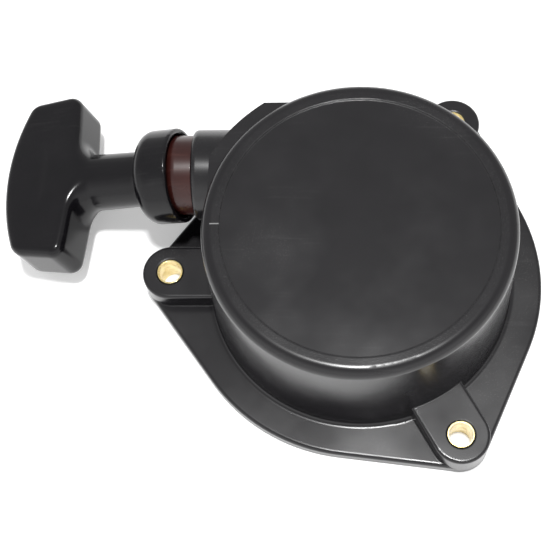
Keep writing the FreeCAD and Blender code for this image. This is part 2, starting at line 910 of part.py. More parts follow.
# The handle is drawn pointing along -X from the middle of its mouth, then hung in place:
# the lowest edge of its mouth almost touches the end of the outlet boss.
droop = math.radians(size("handle_droop"))
mouth_centre = FreeCAD.Vector(
    -size("outlet_end") - size("handle_gap") - size("cup_radius") * math.sin(droop),
    size("outlet_offset"),
    size("rope_height"),
)
hang = FreeCAD.Rotation(FreeCAD.Vector(0, 0, 1), -size("handle_yaw")).multiply(
    FreeCAD.Rotation(FreeCAD.Vector(0, 1, 0), -size("handle_droop"))
)
handle_place = FreeCAD.Placement(mouth_centre, hang)


def make_handle():
    grip = new_body("grip_blank")
    sketch = add_polygon(
        sketch_on(grip, "grip_outline", "XY_Plane"),
        [
            ("-grip_start", "-grip_near_half"),
            ("-grip_start", "grip_near_half"),
            ("-grip_end", "grip_far_half"),
            ("-(3 * grip_crown + grip_end) / 4", "grip_far_half / 2"),
            ("-grip_crown", "0"),
            ("-(3 * grip_crown + grip_end) / 4", "-grip_far_half / 2"),
            ("-grip_end", "-grip_far_half"),
        ],
    )
    pad = grip.newObject("PartDesign::Pad", "grip_pad")
    pad.Profile = sketch
    pad.Midplane = True
    pad.setExpression("Length", formula("grip_height"))
    doc.recompute()
    round_edges(grip, "grip_rounding", "grip_round", lambda edge: True)

    stalk = turned_body(
        "stalk_blank",
        [
            ("0", "0"),
            ("0", "cup_radius"),
            ("-cup_length", "cup_radius"),
            ("-cup_length", "neck_radius"),
            ("-grip_start - 2 * grip_round", "neck_radius"),
            ("-grip_start - 2 * grip_round", "0"),
        ],
        "XY_Plane",
        "H_Axis",
    )
    round_edges(
        stalk,
        "cup_rounding",
        "cup_round",
        lambda edge: is_ring(edge, size("cup_radius"), -size("cup_length"), along=0),
    )
    room = cylinder("cup_room", "cup_inner_radius", "cup_depth", x="-cup_depth", along_x=True)
    hole = cylinder("rope_hole", "rope_hole_radius", "knot_seat", x="-knot_seat", along_x=True)
    pocket = cylinder(
        "knot_seat_pocket",
        "knot_radius + knot_room",
        "grip_crown - knot_seat",
        x="-grip_crown",
        along_x=True,
    )
    handle = cut("handle", fuse("handle_solid", grip, stalk), room, hole, pocket)
    handle.Placement = handle_place
    return handle


def make_handle_washer():
    washer = tube(
        "handle_washer",
        "knot_radius + knot_room / 2",
        "rope_hole_radius",
        "knot_washer_thickness",
        x="-knot_seat - knot_washer_thickness",
        along_x=True,
    )
    washer.Placement = handle_place
    return washer


def make_rope_lead():
    """The free rope: coil, straight run, bend into the guide, bend into the handle."""
    pull = FreeCAD.Vector(-1, 0, 0)
    along_handle = hang.multVec(pull)
    knot_face = size("knot_seat") + size("knot_washer_thickness")
    knot_at = mouth_centre + along_handle * (knot_face + size("knot_radius"))
    corners = [
        coil_exit,
        guide_entry,
        mouth_centre,
        mouth_centre + along_handle * knot_face,
    ]
    edges = []
    start = corners[0]
    for before, corner, after in zip(corners, corners[1:], corners[2:]):
        into = (corner - before).normalize()
        out = (after - corner).normalize()
        turn = into.getAngle(out)
        shorter = min((corner - before).Length, (after - corner).Length)
        radius = 0.45 * shorter / math.tan(turn / 2)
        reach = radius * math.tan(turn / 2)
        bisector = (out - into).normalize()
        inside = corner + bisector * (radius / math.cos(turn / 2) - radius)
        edges.append(Part.LineSegment(start, corner - into * reach).toShape())
        edges.append(Part.Arc(corner - into * reach, inside, corner + out * reach).toShape())
        print(f"free rope: bend of {math.degrees(turn):.1f} degrees, radius {radius:.0f} mm")
        start = corner + out * reach
    edges.append(Part.LineSegment(start, corners[-1]).toShape())
    shape = sweep_round(edges, size("rope_diameter") / 2)
    length = sum(edge.Length for edge in edges)
    return feature("rope_lead", shape), length, knot_at


# ---------------------------------------------------------------- the assembly

housing = make_housing()
sleeves = make_sleeves()
rope_guide = make_rope_guide()
reel = make_reel()
rope_coil, coil_length = make_rope_coil()
reel_knot = make_knot("reel_knot", FreeCAD.Vector(anchor.x, anchor.y, knot_height))
pawls = [make_pawl("pawl_a", 0), make_pawl("pawl_b", 180)]
pins = [make_pin("pawl_pin_a", 0), make_pin("pawl_pin_b", 180)]
pawl_springs = [make_pawl_spring("pawl_spring_a", 0), make_pawl_spring("pawl_spring_b", 180)]
rope_lead, lead_length, handle_knot_at = make_rope_lead()
handle_knot = make_knot("handle_knot", handle_knot_at)

sub_parts = [
    housing,
    *sleeves,
    rope_guide,
    make_spring_case(),
    make_spring(),
    make_spring_plate(),
    make_reel_bush(),
    make_screw_washer(),
    make_centre_screw(),
    reel,
    rope_coil,
    reel_knot,
    *pins,
    *pawl_springs,
    *pawls,
    make_ratchet_guide(),
    make_friction_spring(),
    rope_lead,
    make_handle(),
    make_handle_washer(),
    handle_knot,
]
doc.recompute()

for item in doc.Objects:
    if "Invalid" in item.State or "Error" in item.State:
        raise RuntimeError(f"{item.Label} could not be built")
for item in sub_parts:
    item.Label = item.Name
    if item.Shape.isNull() or not item.Shape.isValid() or not item.Shape.Solids:
        raise RuntimeError(f"{item.Label} has no valid solid")

rope_area = math.pi * (size("rope_diameter") / 2) ** 2
for item, length in ((rope_coil, coil_length), (rope_lead, lead_length)):
    share = item.Shape.Volume / (rope_area * length)
    print(f"{item.Label}: {length:.1f} mm long, volume is {share:.4f} of section times length")

os.makedirs("parts", exist_ok=True)
for item in sub_parts:
    item.Shape.exportStep(f"parts/{item.Label}.step")
    print(f"{item.Label}: {len(item.Shape.Solids)} solid, {item.Shape.Volume:.0f} mm3")
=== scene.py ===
"""Looks of a hand-pull recoil starter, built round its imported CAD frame.

Every length is in metres, in the frame of the CAD model: +Z runs from the engine towards
the closed end of the cover, the origin lies on the reel's axis in the mounting face, and
the handle is pulled along -X. Sizes written in millimetres are multiplied by MM.
"""

from __future__ import annotations

import json
import logging
import math
from dataclasses import dataclass, field
from enum import Enum
from typing import Any, Callable, Sequence

import bpy
import numpy as np
from mathutils import Matrix, Vector

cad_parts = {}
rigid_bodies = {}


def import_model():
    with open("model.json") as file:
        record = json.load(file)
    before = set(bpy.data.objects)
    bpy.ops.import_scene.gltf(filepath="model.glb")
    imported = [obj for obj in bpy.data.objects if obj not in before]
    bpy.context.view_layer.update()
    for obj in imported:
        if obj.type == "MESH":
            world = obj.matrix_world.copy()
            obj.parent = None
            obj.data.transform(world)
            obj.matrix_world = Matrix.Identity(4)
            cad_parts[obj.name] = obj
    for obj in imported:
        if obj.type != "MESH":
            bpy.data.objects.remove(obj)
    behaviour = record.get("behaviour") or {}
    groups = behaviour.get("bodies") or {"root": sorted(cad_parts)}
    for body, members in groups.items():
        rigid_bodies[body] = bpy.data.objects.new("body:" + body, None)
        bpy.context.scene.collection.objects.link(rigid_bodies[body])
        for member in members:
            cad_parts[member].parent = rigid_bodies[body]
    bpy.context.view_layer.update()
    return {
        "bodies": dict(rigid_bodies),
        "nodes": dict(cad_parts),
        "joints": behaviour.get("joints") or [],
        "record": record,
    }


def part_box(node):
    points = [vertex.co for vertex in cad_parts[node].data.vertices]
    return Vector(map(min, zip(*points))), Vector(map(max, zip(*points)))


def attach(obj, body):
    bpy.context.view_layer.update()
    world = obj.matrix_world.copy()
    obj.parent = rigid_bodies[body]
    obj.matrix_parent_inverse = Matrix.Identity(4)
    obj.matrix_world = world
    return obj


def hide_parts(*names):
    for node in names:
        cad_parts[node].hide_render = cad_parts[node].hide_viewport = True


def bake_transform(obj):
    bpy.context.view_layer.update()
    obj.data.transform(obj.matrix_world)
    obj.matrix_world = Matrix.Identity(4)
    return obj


MM = 0.001
LOG = logging.getLogger("recoil_starter")


# ------------------------------------------------------------------ node trees


class Graph:
    """A node tree with short calls for adding nodes and joining them."""

    def __init__(self, tree: bpy.types.NodeTree) -> None:
        """Keep the tree.

        Args:
            tree: The shader or geometry node tree to write into.
        """
        self.tree = tree

    def add(self, kind: str, inputs: dict[Any, Any] | None = None, **settings: Any) -> bpy.types.Node:
        """Add one node.

        Args:
            kind: The node's type name.
            inputs: Values or sockets for the node's inputs, by name or number.
            **settings: Properties of the node.

        Returns:
            The new node.
        """
        node = self.tree.nodes.new(kind)
        for name, value in settings.items():
            setattr(node, name, value)
        for key, value in (inputs or {}).items():
            if isinstance(value, bpy.types.NodeSocket):
                self.tree.links.new(value, node.inputs[key])
            else:
                node.inputs[key].default_value = value
        return node

    def math(self, operation: str, *values: Any) -> bpy.types.NodeSocket:
        """Add a Math node and return its result.

        Args:
            operation: The Math node's operation.
            *values: Numbers or sockets, in order.

        Returns:
            The result's socket.
        """
        return self.add("ShaderNodeMath", dict(enumerate(values)), operation=operation).outputs[0]

    def span(self, value: Any, low: float, high: float, to_low: float = 0.0, to_high: float = 1.0) -> Any:
        """Map a value from one span to another, clamped.

        Args:
            value: The socket to map.
            low: The value that becomes to_low.
            high: The value that becomes to_high.
            to_low: Start of the new span.
            to_high: End of the new span.

        Returns:
            The mapped value's socket.
        """
        limits = {"From Min": low, "From Max": high, "To Min": to_low, "To Max": to_high}
        return self.add("ShaderNodeMapRange", {"Value": value, **limits}).outputs["Result"]

    def mix(self, share: Any, first: Any, second: Any) -> bpy.types.NodeSocket:
        """Mix two colours.

        Args:
            share: How much of the second colour there is.
            first: Colour or socket.
            second: Colour or socket.

        Returns:
            The mixed colour's socket.
        """
        node = self.add("ShaderNodeMix", {"Factor": share}, data_type="RGBA")
        for socket, value in ((node.inputs[6], first), (node.inputs[7], second)):
            if isinstance(value, bpy.types.NodeSocket):
                self.tree.links.new(value, socket)
            else:
                socket.default_value = value
        return node.outputs[2]

    def noise(self, vector: Any, scale: Any, detail: float = 2.0, roughness: float = 0.5) -> Any:
        """Add a Noise texture and return its value from 0 to 1.

        Args:
            vector: The coordinates' socket.
            scale: Features per metre.
            detail: Octaves.
            roughness: Strength of the finer octaves.

        Returns:
            The value's socket.
        """
        values = {"Vector": vector, "Scale": scale, "Detail": detail, "Roughness": roughness}
        return self.add("ShaderNodeTexNoise", values).outputs["Fac"]


def shader_group(name: str, inputs: dict[str, float], outputs: Sequence[str]) -> tuple:
    """Start a shader node group that takes coordinates and numbers, and gives numbers.

    Args:
        name: Name of the group.
        inputs: Default value of each number that the group takes.
        outputs: Names of the numbers that the group gives.

    Returns:
        The group, its graph, and its input and output nodes.
    """
    group = bpy.data.node_groups.new(name, "ShaderNodeTree")
    group.interface.new_socket("Vector", in_out="INPUT", socket_type="NodeSocketVector")
    for key, value in inputs.items():
        socket = group.interface.new_socket(key, in_out="INPUT", socket_type="NodeSocketFloat")
        socket.default_value = value
    for key in outputs:
        group.interface.new_socket(key, in_out="OUTPUT", socket_type="NodeSocketFloat")
    graph = Graph(group)
    return group, graph, graph.add("NodeGroupInput"), graph.add("NodeGroupOutput")


class Effect(Enum):
    """The surface effects that several finishes share."""

    GRAIN = "mould_grain"
    HANDLING = "handling_marks"
    EDGES = "worn_edges"

    def group(self) -> bpy.types.NodeTree:
        """Find the effect's node group, or make it on first use.

        Returns:
            The node group.
        """
        found = bpy.data.node_groups.get(self.value)
        if found is not None:
            return found
        makers = {
            Effect.GRAIN: make_grain_group,
            Effect.HANDLING: make_handling_group,
            Effect.EDGES: make_edge_group,
        }
        return makers[self]()

    def place(self, graph: Graph, **inputs: Any) -> bpy.types.Node:
        """Place the effect in a material.

        Args:
            graph: The material's graph.
            **inputs: Values or sockets for the group's inputs.

        Returns:
            The group node.
        """
        node = graph.add("ShaderNodeGroup", node_tree=self.group())
        for key, value in inputs.items():
            socket = node.inputs[key.capitalize()]
            if isinstance(value, bpy.types.NodeSocket):
                graph.tree.links.new(value, socket)
            else:
                socket.default_value = value
        return node


def make_grain_group() -> bpy.types.NodeTree:
    """Make the spark-eroded grain of a moulding tool: rounded pits over slow ripples.

    Returns:
        The node group, with the outputs Height and Tone.
    """
    numbers = {"Grain": 3500.0, "Ripple": 90.0}
    group, graph, given, result = shader_group(Effect.GRAIN.value, numbers, ("Height", "Tone"))
    place = given.outputs["Vector"]
    pits = graph.noise(place, given.outputs["Grain"], 3.0, 0.6)
    ripple = graph.noise(place, given.outputs["Ripple"], 2.0, 0.4)
    height = graph.math("ADD", graph.math("MULTIPLY", pits, 0.7), graph.math("MULTIPLY", ripple, 0.3))
    graph.tree.links.new(height, result.inputs["Height"])
    tone = graph.math("MULTIPLY", graph.span(ripple, 0.3, 0.7), graph.span(pits, 0.25, 0.75, 0.6, 1.0))
    graph.tree.links.new(tone, result.inputs["Tone"])
    return group


def make_handling_group() -> bpy.types.NodeTree:
    """Make the marks of storage and handling: hair scratches, rubbed patches and dust.

    Returns:
        The node group, with the outputs Scratch, Rub and Dust.
    """
    numbers = {"Scale": 60.0, "Dust size": 2600.0}
    outputs = ("Scratch", "Rub", "Dust")
    group, graph, given, result = shader_group(Effect.HANDLING.value, numbers, outputs)
    place, scale = given.outputs["Vector"], given.outputs["Scale"]
    streaks = []
    for turn in (0.4, 1.9):
        turned = graph.add(
            "ShaderNodeMapping", {"Vector": place, "Rotation": (0.2, 0.1, turn), "Scale": (1.0, 22.0, 1.0)}
        )
        wave = graph.noise(turned.outputs["Vector"], scale, 2.0, 0.4)
        streaks.append(graph.span(wave, 0.665, 0.70))
    patch = graph.noise(place, graph.math("MULTIPLY", scale, 0.6), 3.0, 0.55)
    scratch = graph.math("MULTIPLY", graph.math("MAXIMUM", *streaks), graph.span(patch, 0.45, 0.62))
    specks = graph.add("ShaderNodeTexVoronoi", {"Vector": place, "Scale": given.outputs["Dust size"]})
    speck = graph.span(specks.outputs["Distance"], 0.16, 0.05)
    dust = graph.math("MULTIPLY", speck, graph.span(patch, 0.5, 0.66))
    for name, socket in (("Scratch", scratch), ("Rub", graph.span(patch, 0.4, 0.75)), ("Dust", dust)):
        graph.tree.links.new(socket, result.inputs[name])
    return group


def make_edge_group() -> bpy.types.NodeTree:
    """Make a mask of the outer edges, where a rounded normal leaves the true one.

    Returns:
        The node group, with the output Mask.
    """
    numbers = {"Width": 0.6 * MM}
    group, graph, given, result = shader_group(Effect.EDGES.value, numbers, ("Mask",))
    soft = graph.add("ShaderNodeBevel", {"Radius": given.outputs["Width"]}, samples=4)
    true = graph.add("ShaderNodeNewGeometry")
    normals = {0: soft.outputs["Normal"], 1: true.outputs["Normal"]}
    dot = graph.add("ShaderNodeVectorMath", normals, operation="DOT_PRODUCT")
    edge = graph.span(dot.outputs["Value"], 0.985, 0.86)
    broken = graph.span(graph.noise(given.outputs["Vector"], 420.0, 3.0, 0.6), 0.35, 0.6)
    graph.tree.links.new(graph.math("MULTIPLY", edge, broken), result.inputs["Mask"])
    return group


Colour = tuple[float, float, float]


def rgba(colour: Colour) -> tuple[float, float, float, float]:
    """Return the colour with full alpha."""
    return (*colour, 1.0)


def new_material(name: str) -> tuple[bpy.types.Material, Graph, bpy.types.Node]:
    """Start a material with a Principled shader.

    Args:
        name: Name of the material.

    Returns:
        The material, its graph and its Principled node.
    """
    material = bpy.data.materials.new(name)
    material.use_nodes = True
    graph = Graph(material.node_tree)
    shader = material.node_tree.nodes["Principled BSDF"]
    return material, graph, shader


# ------------------------------------------------------------------ finishes


@dataclass(frozen=True)
class RimTexture:
    """Coarser texture of the ring round the closed end's recess, and a raised gate mark across it, coloured
    light grey as a painted highlight.
    """

    inner: float = 35.2 * MM
    outer: float = 37.6 * MM
    height: float = 42.3 * MM
    mark_half_width: float = 0.16 * MM
    shade: float = 0.22
    relief: float = 1.3
    # Light grey of the gate mark: a painted highlight standing in for the light its raised edge catches.
    mark_highlight_colour: Colour = (0.2, 0.2, 0.2)

    def masks(self, graph: Graph, place: Any) -> tuple[Any, Any]:
        """Add the masks to a material.

        Args:
            graph: The material's graph.
            place: Socket of the object coordinates.

        Returns:
            The sockets of the ring's speckle and of the gate mark.
        """
        parts = graph.add("ShaderNodeSeparateXYZ", {"Vector": place}).outputs
        square_x, square_y = (graph.math("POWER", parts[axis], 2.0) for axis in "XY")
        radius = graph.math("SQRT", graph.math("ADD", square_x, square_y))
        top = graph.math("GREATER_THAN", parts["Z"], self.height)
        rising = graph.span(radius, self.inner, self.inner + 0.4 * MM)
        falling = graph.span(radius, self.outer, self.outer - 0.8 * MM)
        ring = graph.math("MULTIPLY", graph.math("MULTIPLY", rising, falling), top)
        speckle = graph.span(graph.noise(place, 2400.0, 2.0, 0.7), 0.5, 0.72)
        side = graph.math("LESS_THAN", graph.math("ABSOLUTE", parts["Y"]), self.mark_half_width)
        across = graph.math("LESS_THAN", parts["X"], -self.inner)
        inside = graph.math("LESS_THAN", radius, self.outer)
        mark = graph.math("MULTIPLY", side, across)
        for limit in (inside, top):
            mark = graph.math("MULTIPLY", mark, limit)
        return graph.math("MULTIPLY", ring, speckle), mark


@dataclass(frozen=True)
class MouldedPlastic:
    """Injection-moulded plastic with grain, handling marks and worn edges."""

    name: str
    colour: Colour
    tone: Colour
    worn: Colour
    roughness: float
    rub: float = 0.1
    grain: float = 3500.0
    grain_depth: float = 0.004 * MM
    edge_round: float = 0.5 * MM
    dust: float = 0.25
    dust_colour: Colour = (0.45, 0.43, 0.4)
    dust_roughness: float = 0.4
    scratch: float = 0.35
    scratch_depth: float = 0.4
    edge_wear: float = 0.35
    specular: float = 0.5
    rim: RimTexture | None = None

    def material(self) -> bpy.types.Material:
        """Build the material.

        Returns:
            The finished material.
        """
        material, graph, shader = new_material(self.name)
        place = graph.add("ShaderNodeTexCoord").outputs["Object"]
        grain = Effect.GRAIN.place(graph, vector=place, grain=self.grain)
        marks = Effect.HANDLING.place(graph, vector=place)
        edges = Effect.EDGES.place(graph, vector=place, width=self.edge_round)
        colour = graph.mix(grain.outputs["Tone"], rgba(self.colour), rgba(self.tone))
        scratched = graph.math("MULTIPLY", marks.outputs["Scratch"], self.scratch)
        colour = graph.mix(scratched, colour, rgba(self.worn))
        worn_edges = graph.math("MULTIPLY", edges.outputs["Mask"], self.edge_wear)
        colour = graph.mix(worn_edges, colour, rgba(self.worn))
        dusty = graph.math("MULTIPLY", marks.outputs["Dust"], self.dust)
        colour = graph.mix(dusty, colour, rgba(self.dust_colour))
        height = graph.math("MULTIPLY_ADD", scratched, -self.scratch_depth, grain.outputs["Height"])
        if self.rim is not None:
            speckle, mark = self.rim.masks(graph, place)
            colour = graph.mix(graph.math("MULTIPLY", speckle, self.rim.shade), colour, rgba(self.worn))
            # Painted highlight: the gate mark is a real raised moulding mark, and its light grey colour
            # stands in for the light its raised edge catches.
            colour = graph.mix(mark, colour, rgba(self.rim.mark_highlight_colour))
            height = graph.math("MULTIPLY_ADD", speckle, self.rim.relief, height)
        graph.tree.links.new(colour, shader.inputs["Base Color"])
        rubbed = graph.math("MULTIPLY_ADD", marks.outputs["Rub"], self.rub, self.roughness)
        rough = graph.math("ADD", rubbed, graph.math("MULTIPLY", dusty, self.dust_roughness))
        graph.tree.links.new(rough, shader.inputs["Roughness"])
        shader.inputs["Specular IOR Level"].default_value = self.specular
        soft = graph.add("ShaderNodeBevel", {"Radius": self.edge_round}, samples=6)
        relief = {"Strength": 1.0, "Distance": self.grain_depth, "Height": height}
        bump = graph.add("ShaderNodeBump", {**relief, "Normal": soft.outputs["Normal"]})
        graph.tree.links.new(bump.outputs["Normal"], shader.inputs["Normal"])
        return material


class Brushing(Enum):
    """How the fine lines of a metal surface run."""

    TURNED = "turned"
    ROLLED = "rolled"


@dataclass(frozen=True)
class Metal:
    """Bare or plated metal with tool lines, stains and bright edges."""

    name: str
    colour: Colour
    stain: Colour
    roughness: float
    brushing: Brushing = Brushing.ROLLED
    lines: float = 9000.0
    line_depth: float = 0.004 * MM
    spread: float = 0.12
    bright_edges: float = 0.6
    edge_round: float = 0.15 * MM

    def material(self) -> bpy.types.Material:
        """Build the material.

        Returns:
            The finished material.
        """
        material, graph, shader = new_material(self.name)
        place = graph.add("ShaderNodeTexCoord").outputs["Object"]
        stretch = (0.05, 1.0, 1.0) if self.brushing is Brushing.ROLLED else (0.08, 0.08, 1.0)
        line_place = graph.add("ShaderNodeMapping", {"Vector": place, "Scale": stretch})
        line = graph.noise(line_place.outputs["Vector"], self.lines, 2.0, 0.5)
        stain = graph.span(graph.noise(place, 260.0, 4.0, 0.6), 0.42, 0.68)
        edges = Effect.EDGES.place(graph, vector=place, width=self.edge_round)
        colour = graph.mix(stain, rgba(self.colour), rgba(self.stain))
        bright = tuple(min(1.0, 1.25 * part) for part in self.colour)
        rubbed = graph.math("MULTIPLY", edges.outputs["Mask"], self.bright_edges)
        colour = graph.mix(rubbed, colour, rgba(bright))
        graph.tree.links.new(colour, shader.inputs["Base Color"])
        shader.inputs["Metallic"].default_value = 1.0
        rough = graph.math("MULTIPLY_ADD", line, self.spread, self.roughness - self.spread / 2)
        rough = graph.math("MULTIPLY_ADD", stain, self.spread, rough)
        graph.tree.links.new(rough, shader.inputs["Roughness"])
        soft = graph.add("ShaderNodeBevel", {"Radius": self.edge_round}, samples=4)
        relief = {"Strength": 0.6, "Distance": self.line_depth, "Height": line}
        bump = graph.add("ShaderNodeBump", {**relief, "Normal": soft.outputs["Normal"]})
        graph.tree.links.new(bump.outputs["Normal"], shader.inputs["Normal"])
        return material


@dataclass(frozen=True)
class Cord:
    """Fibres and soiling of a cord whose braid is in its mesh."""

    name: str
    colour: Colour
    shadow: Colour
    fibres: float = 7000.0
    fibre_depth: float = 0.03 * MM
    soiling: float = 0.45
    sheen: float = 0.25

    def material(self) -> bpy.types.Material:
        """Build the material.

        Returns:
            The finished material.
        """
        material, graph, shader = new_material(self.name)
        place = graph.add("ShaderNodeTexCoord").outputs["Object"]
        fibre = graph.noise(place, self.fibres, 3.0, 0.7)
        soil = graph.span(graph.noise(place, 120.0, 3.0, 0.6), 0.35, 0.75)
        colour = graph.mix(graph.math("MULTIPLY", fibre, 0.5), rgba(self.colour), rgba(self.shadow))
        colour = graph.mix(graph.math("MULTIPLY", soil, self.soiling), colour, rgba(self.shadow))
        graph.tree.links.new(colour, shader.inputs["Base Color"])
        graph.tree.links.new(graph.span(fibre, 0.0, 1.0, 0.62, 0.9), shader.inputs["Roughness"])
        shader.inputs["Sheen Weight"].default_value = self.sheen
        relief = {"Strength": 0.8, "Distance": self.fibre_depth, "Height": fibre}
        bump = graph.add("ShaderNodeBump", relief)
        graph.tree.links.new(bump.outputs["Normal"], shader.inputs["Normal"])
        return material


COVER_BLACK = MouldedPlastic(
    "cover_black", (0.0045, 0.004, 0.0052), (0.0075, 0.0068, 0.0082), (0.05, 0.049, 0.05), 0.2,
    scratch=0.16, rim=RimTexture(),
)
HANDLE_BLACK = MouldedPlastic(
    "handle_black", (0.0035, 0.0032, 0.0042), (0.0055, 0.005, 0.0062), (0.04, 0.039, 0.04), 0.14,
    grain_depth=0.0015 * MM, edge_round=0.2 * MM, dust=0.1, scratch=0.12, specular=0.3,
)
GUIDE_BROWN = MouldedPlastic(
    "guide_brown", (0.026, 0.006, 0.005), (0.04, 0.009, 0.007), (0.12, 0.05, 0.04), 0.24,
    grain_depth=0.001 * MM, edge_round=0.3 * MM, dust=0.05, scratch=0.15, specular=0.4,
)
REEL_NYLON = MouldedPlastic(
    "reel_nylon", (0.02, 0.02, 0.022), (0.032, 0.031, 0.033), (0.1, 0.1, 0.1), 0.42, dust=0.35
)
SLEEVE_BRASS = Metal(
    "sleeve_brass", (0.9, 0.77, 0.42), (0.62, 0.47, 0.16), 0.2, Brushing.TURNED
)
PLATED_STEEL = Metal("plated_steel", (0.6, 0.6, 0.58), (0.47, 0.46, 0.43), 0.32)
SPRING_STEEL = Metal("spring_steel", (0.2, 0.22, 0.27), (0.14, 0.13, 0.13), 0.28)
ROPE_CORD = Cord("rope_cord", (0.6, 0.58, 0.52), (0.24, 0.22, 0.18))


Finish = MouldedPlastic | Metal | Cord


class Finishes:
    """The materials of the whole object, each built once."""

    def __init__(self) -> None:
        """Start with no material built."""
        self.built: dict[str, bpy.types.Material] = {}

    def of(self, finish: Finish) -> bpy.types.Material:
        """Return the finish's material.

        Args:
            finish: The finish to build or find.

        Returns:
            Its material.
        """
        if finish.name not in self.built:
            self.built[finish.name] = finish.material()
        return self.built[finish.name]

    def dress(self, obj: bpy.types.Object, finish: Finish) -> None:
        """Give an object one finish all over.

        Args:
            obj: The object to dress.
            finish: Its finish.
        """
        obj.data.materials.clear()
        obj.data.materials.append(self.of(finish))


# ------------------------------------------------------------------ shapes


def round_overlap(first: np.ndarray, second: np.ndarray, radius: float) -> np.ndarray:
    """Distance to what two solids share, with the new edge rounded.

    Args:
        first: Signed distance to the first solid, negative inside.
        second: Signed distance to the second solid.
        radius: Rounding of the edge where they meet.

    Returns:
        Signed distance to the rounded overlap.
    """
    inner = np.minimum(np.maximum(first, second), -radius)
    return inner + np.hypot(np.maximum(first + radius, 0.0), np.maximum(second + radius, 0.0))


def round_union(first: np.ndarray, second: np.ndarray, radius: float) -> np.ndarray:
    """Distance to two solids together, with a fillet of this radius between them."""
    return -round_overlap(-first, -second, radius)


def round_cut(solid: np.ndarray, tool: np.ndarray, radius: float) -> np.ndarray:
    """Distance to the solid without the tool, with the rim rounded."""
    return round_overlap(solid, -tool, radius)


Field = Callable[[np.ndarray], np.ndarray]


def field_slope(field: Field, points: np.ndarray, step: float) -> np.ndarray:
    """Measure the gradient of a field by central differences.

    Args:
        field: Signed distance at an array of points.
        points: Where to measure.
        step: Distance on each side of a point.

    Returns:
        The gradient at each point.
    """
    slopes = []
    for axis in range(3):
        shift = np.zeros(3)
        shift[axis] = step
        slopes.append((field(points + shift) - field(points - shift)) / (2 * step))
    return np.stack(slopes, axis=-1)


def surface_net(
    field: Field, low: Sequence[float], high: Sequence[float], cell: float, rounds: int = 6
) -> tuple[np.ndarray, np.ndarray]:
    """Mesh the zero surface of a field with one vertex for each cell that it crosses.

    Args:
        field: Signed distance at an array of points, negative inside.
        low: Lowest corner of the space to mesh.
        high: Highest corner of that space.
        cell: Side of a cell.
        rounds: How many times the vertices step towards the surface.

    Returns:
        The vertices, moved onto the surface, and the quads, facing outwards.
    """
    axes = [np.arange(start, stop + cell, cell) for start, stop in zip(low, high)]
    grid = np.stack(np.meshgrid(*axes, indexing="ij"), axis=-1)
    inside = field(grid) < 0.0
    cells = [size - 1 for size in inside.shape]
    filled = np.zeros(cells, dtype=int)
    for i in (0, 1):
        for j in (0, 1):
            for k in (0, 1):
                filled += inside[i : cells[0] + i, j : cells[1] + j, k : cells[2] + k]
    crossed = (filled > 0) & (filled < 8)
    number = np.full(cells, -1)
    number[crossed] = np.arange(int(crossed.sum()))
    points = np.asarray(low) + (np.argwhere(crossed) + 0.5) * cell
    flattest = 0.05
    for _ in range(rounds):
        slope = field_slope(field, points, 0.1 * cell)
        square = np.maximum((slope**2).sum(axis=-1), flattest)
        step = (field(points) / square)[:, None] * slope
        points = points - np.clip(step, -0.5 * cell, 0.5 * cell)
    quads = []
    for axis in range(3):
        second, third = (axis + 1) % 3, (axis + 2) % 3
        here = np.moveaxis(inside, (axis, second, third), (0, 1, 2))
        numbers = np.moveaxis(number, (axis, second, third), (0, 1, 2))
        leaving = here[:-1, 1:-1, 1:-1] & ~here[1:, 1:-1, 1:-1]
        entering = ~here[:-1, 1:-1, 1:-1] & here[1:, 1:-1, 1:-1]
        around = [numbers[:, :-1, :-1], numbers[:, 1:, :-1], numbers[:, 1:, 1:], numbers[:, :-1, 1:]]
        for change, order in ((leaving, around), (entering, around[::-1])):
            quads.append(np.stack([corner[change] for corner in order], axis=-1))
    return points, np.concatenate(quads)


def mesh_object(name: str, points: np.ndarray, faces: Any) -> bpy.types.Object:
    """Make a smooth-shaded mesh object at the origin.

    Args:
        name: Name of the object.
        points: Vertices in metres.
        faces: Corner numbers of each face.

    Returns:
        The new object, linked to the scene.
    """
    mesh = bpy.data.meshes.new(name)
    mesh.from_pydata([tuple(point) for point in points], [], [tuple(map(int, face)) for face in faces])
    mesh.shade_smooth()
    obj = bpy.data.objects.new(name, mesh)
    bpy.context.scene.collection.objects.link(obj)
    return obj


class Line(Enum):
    """How a curve follows its points."""

    THROUGH = "POLY"
    SMOOTH = "NURBS"


def path_curve(name: str, points: Sequence[Vector], line: Line, cyclic: bool = False) -> bpy.types.Object:
    """Make a curve from some points.

    Args:
        name: Name of the object.
        points: The points in metres.
        line: Whether the curve goes through the points or is only drawn to them.
        cyclic: Whether the last point joins the first.

    Returns:
        The curve object, linked to the scene.
    """
    data = bpy.data.curves.new(name, "CURVE")
    data.dimensions = "3D"
    data.resolution_u = 32
    spline = data.splines.new(line.value)
    spline.points.add(len(points) - 1)
    for target, point in zip(spline.points, points):
        target.co = (*point, 1.0)
    spline.use_cyclic_u = cyclic
    if line is Line.SMOOTH:
        spline.order_u = 3
        spline.use_endpoint_u = True
    curve = bpy.data.objects.new(name, data)
    bpy.context.scene.collection.objects.link(curve)
    return curve


# ------------------------------------------------------------------ geometry nodes


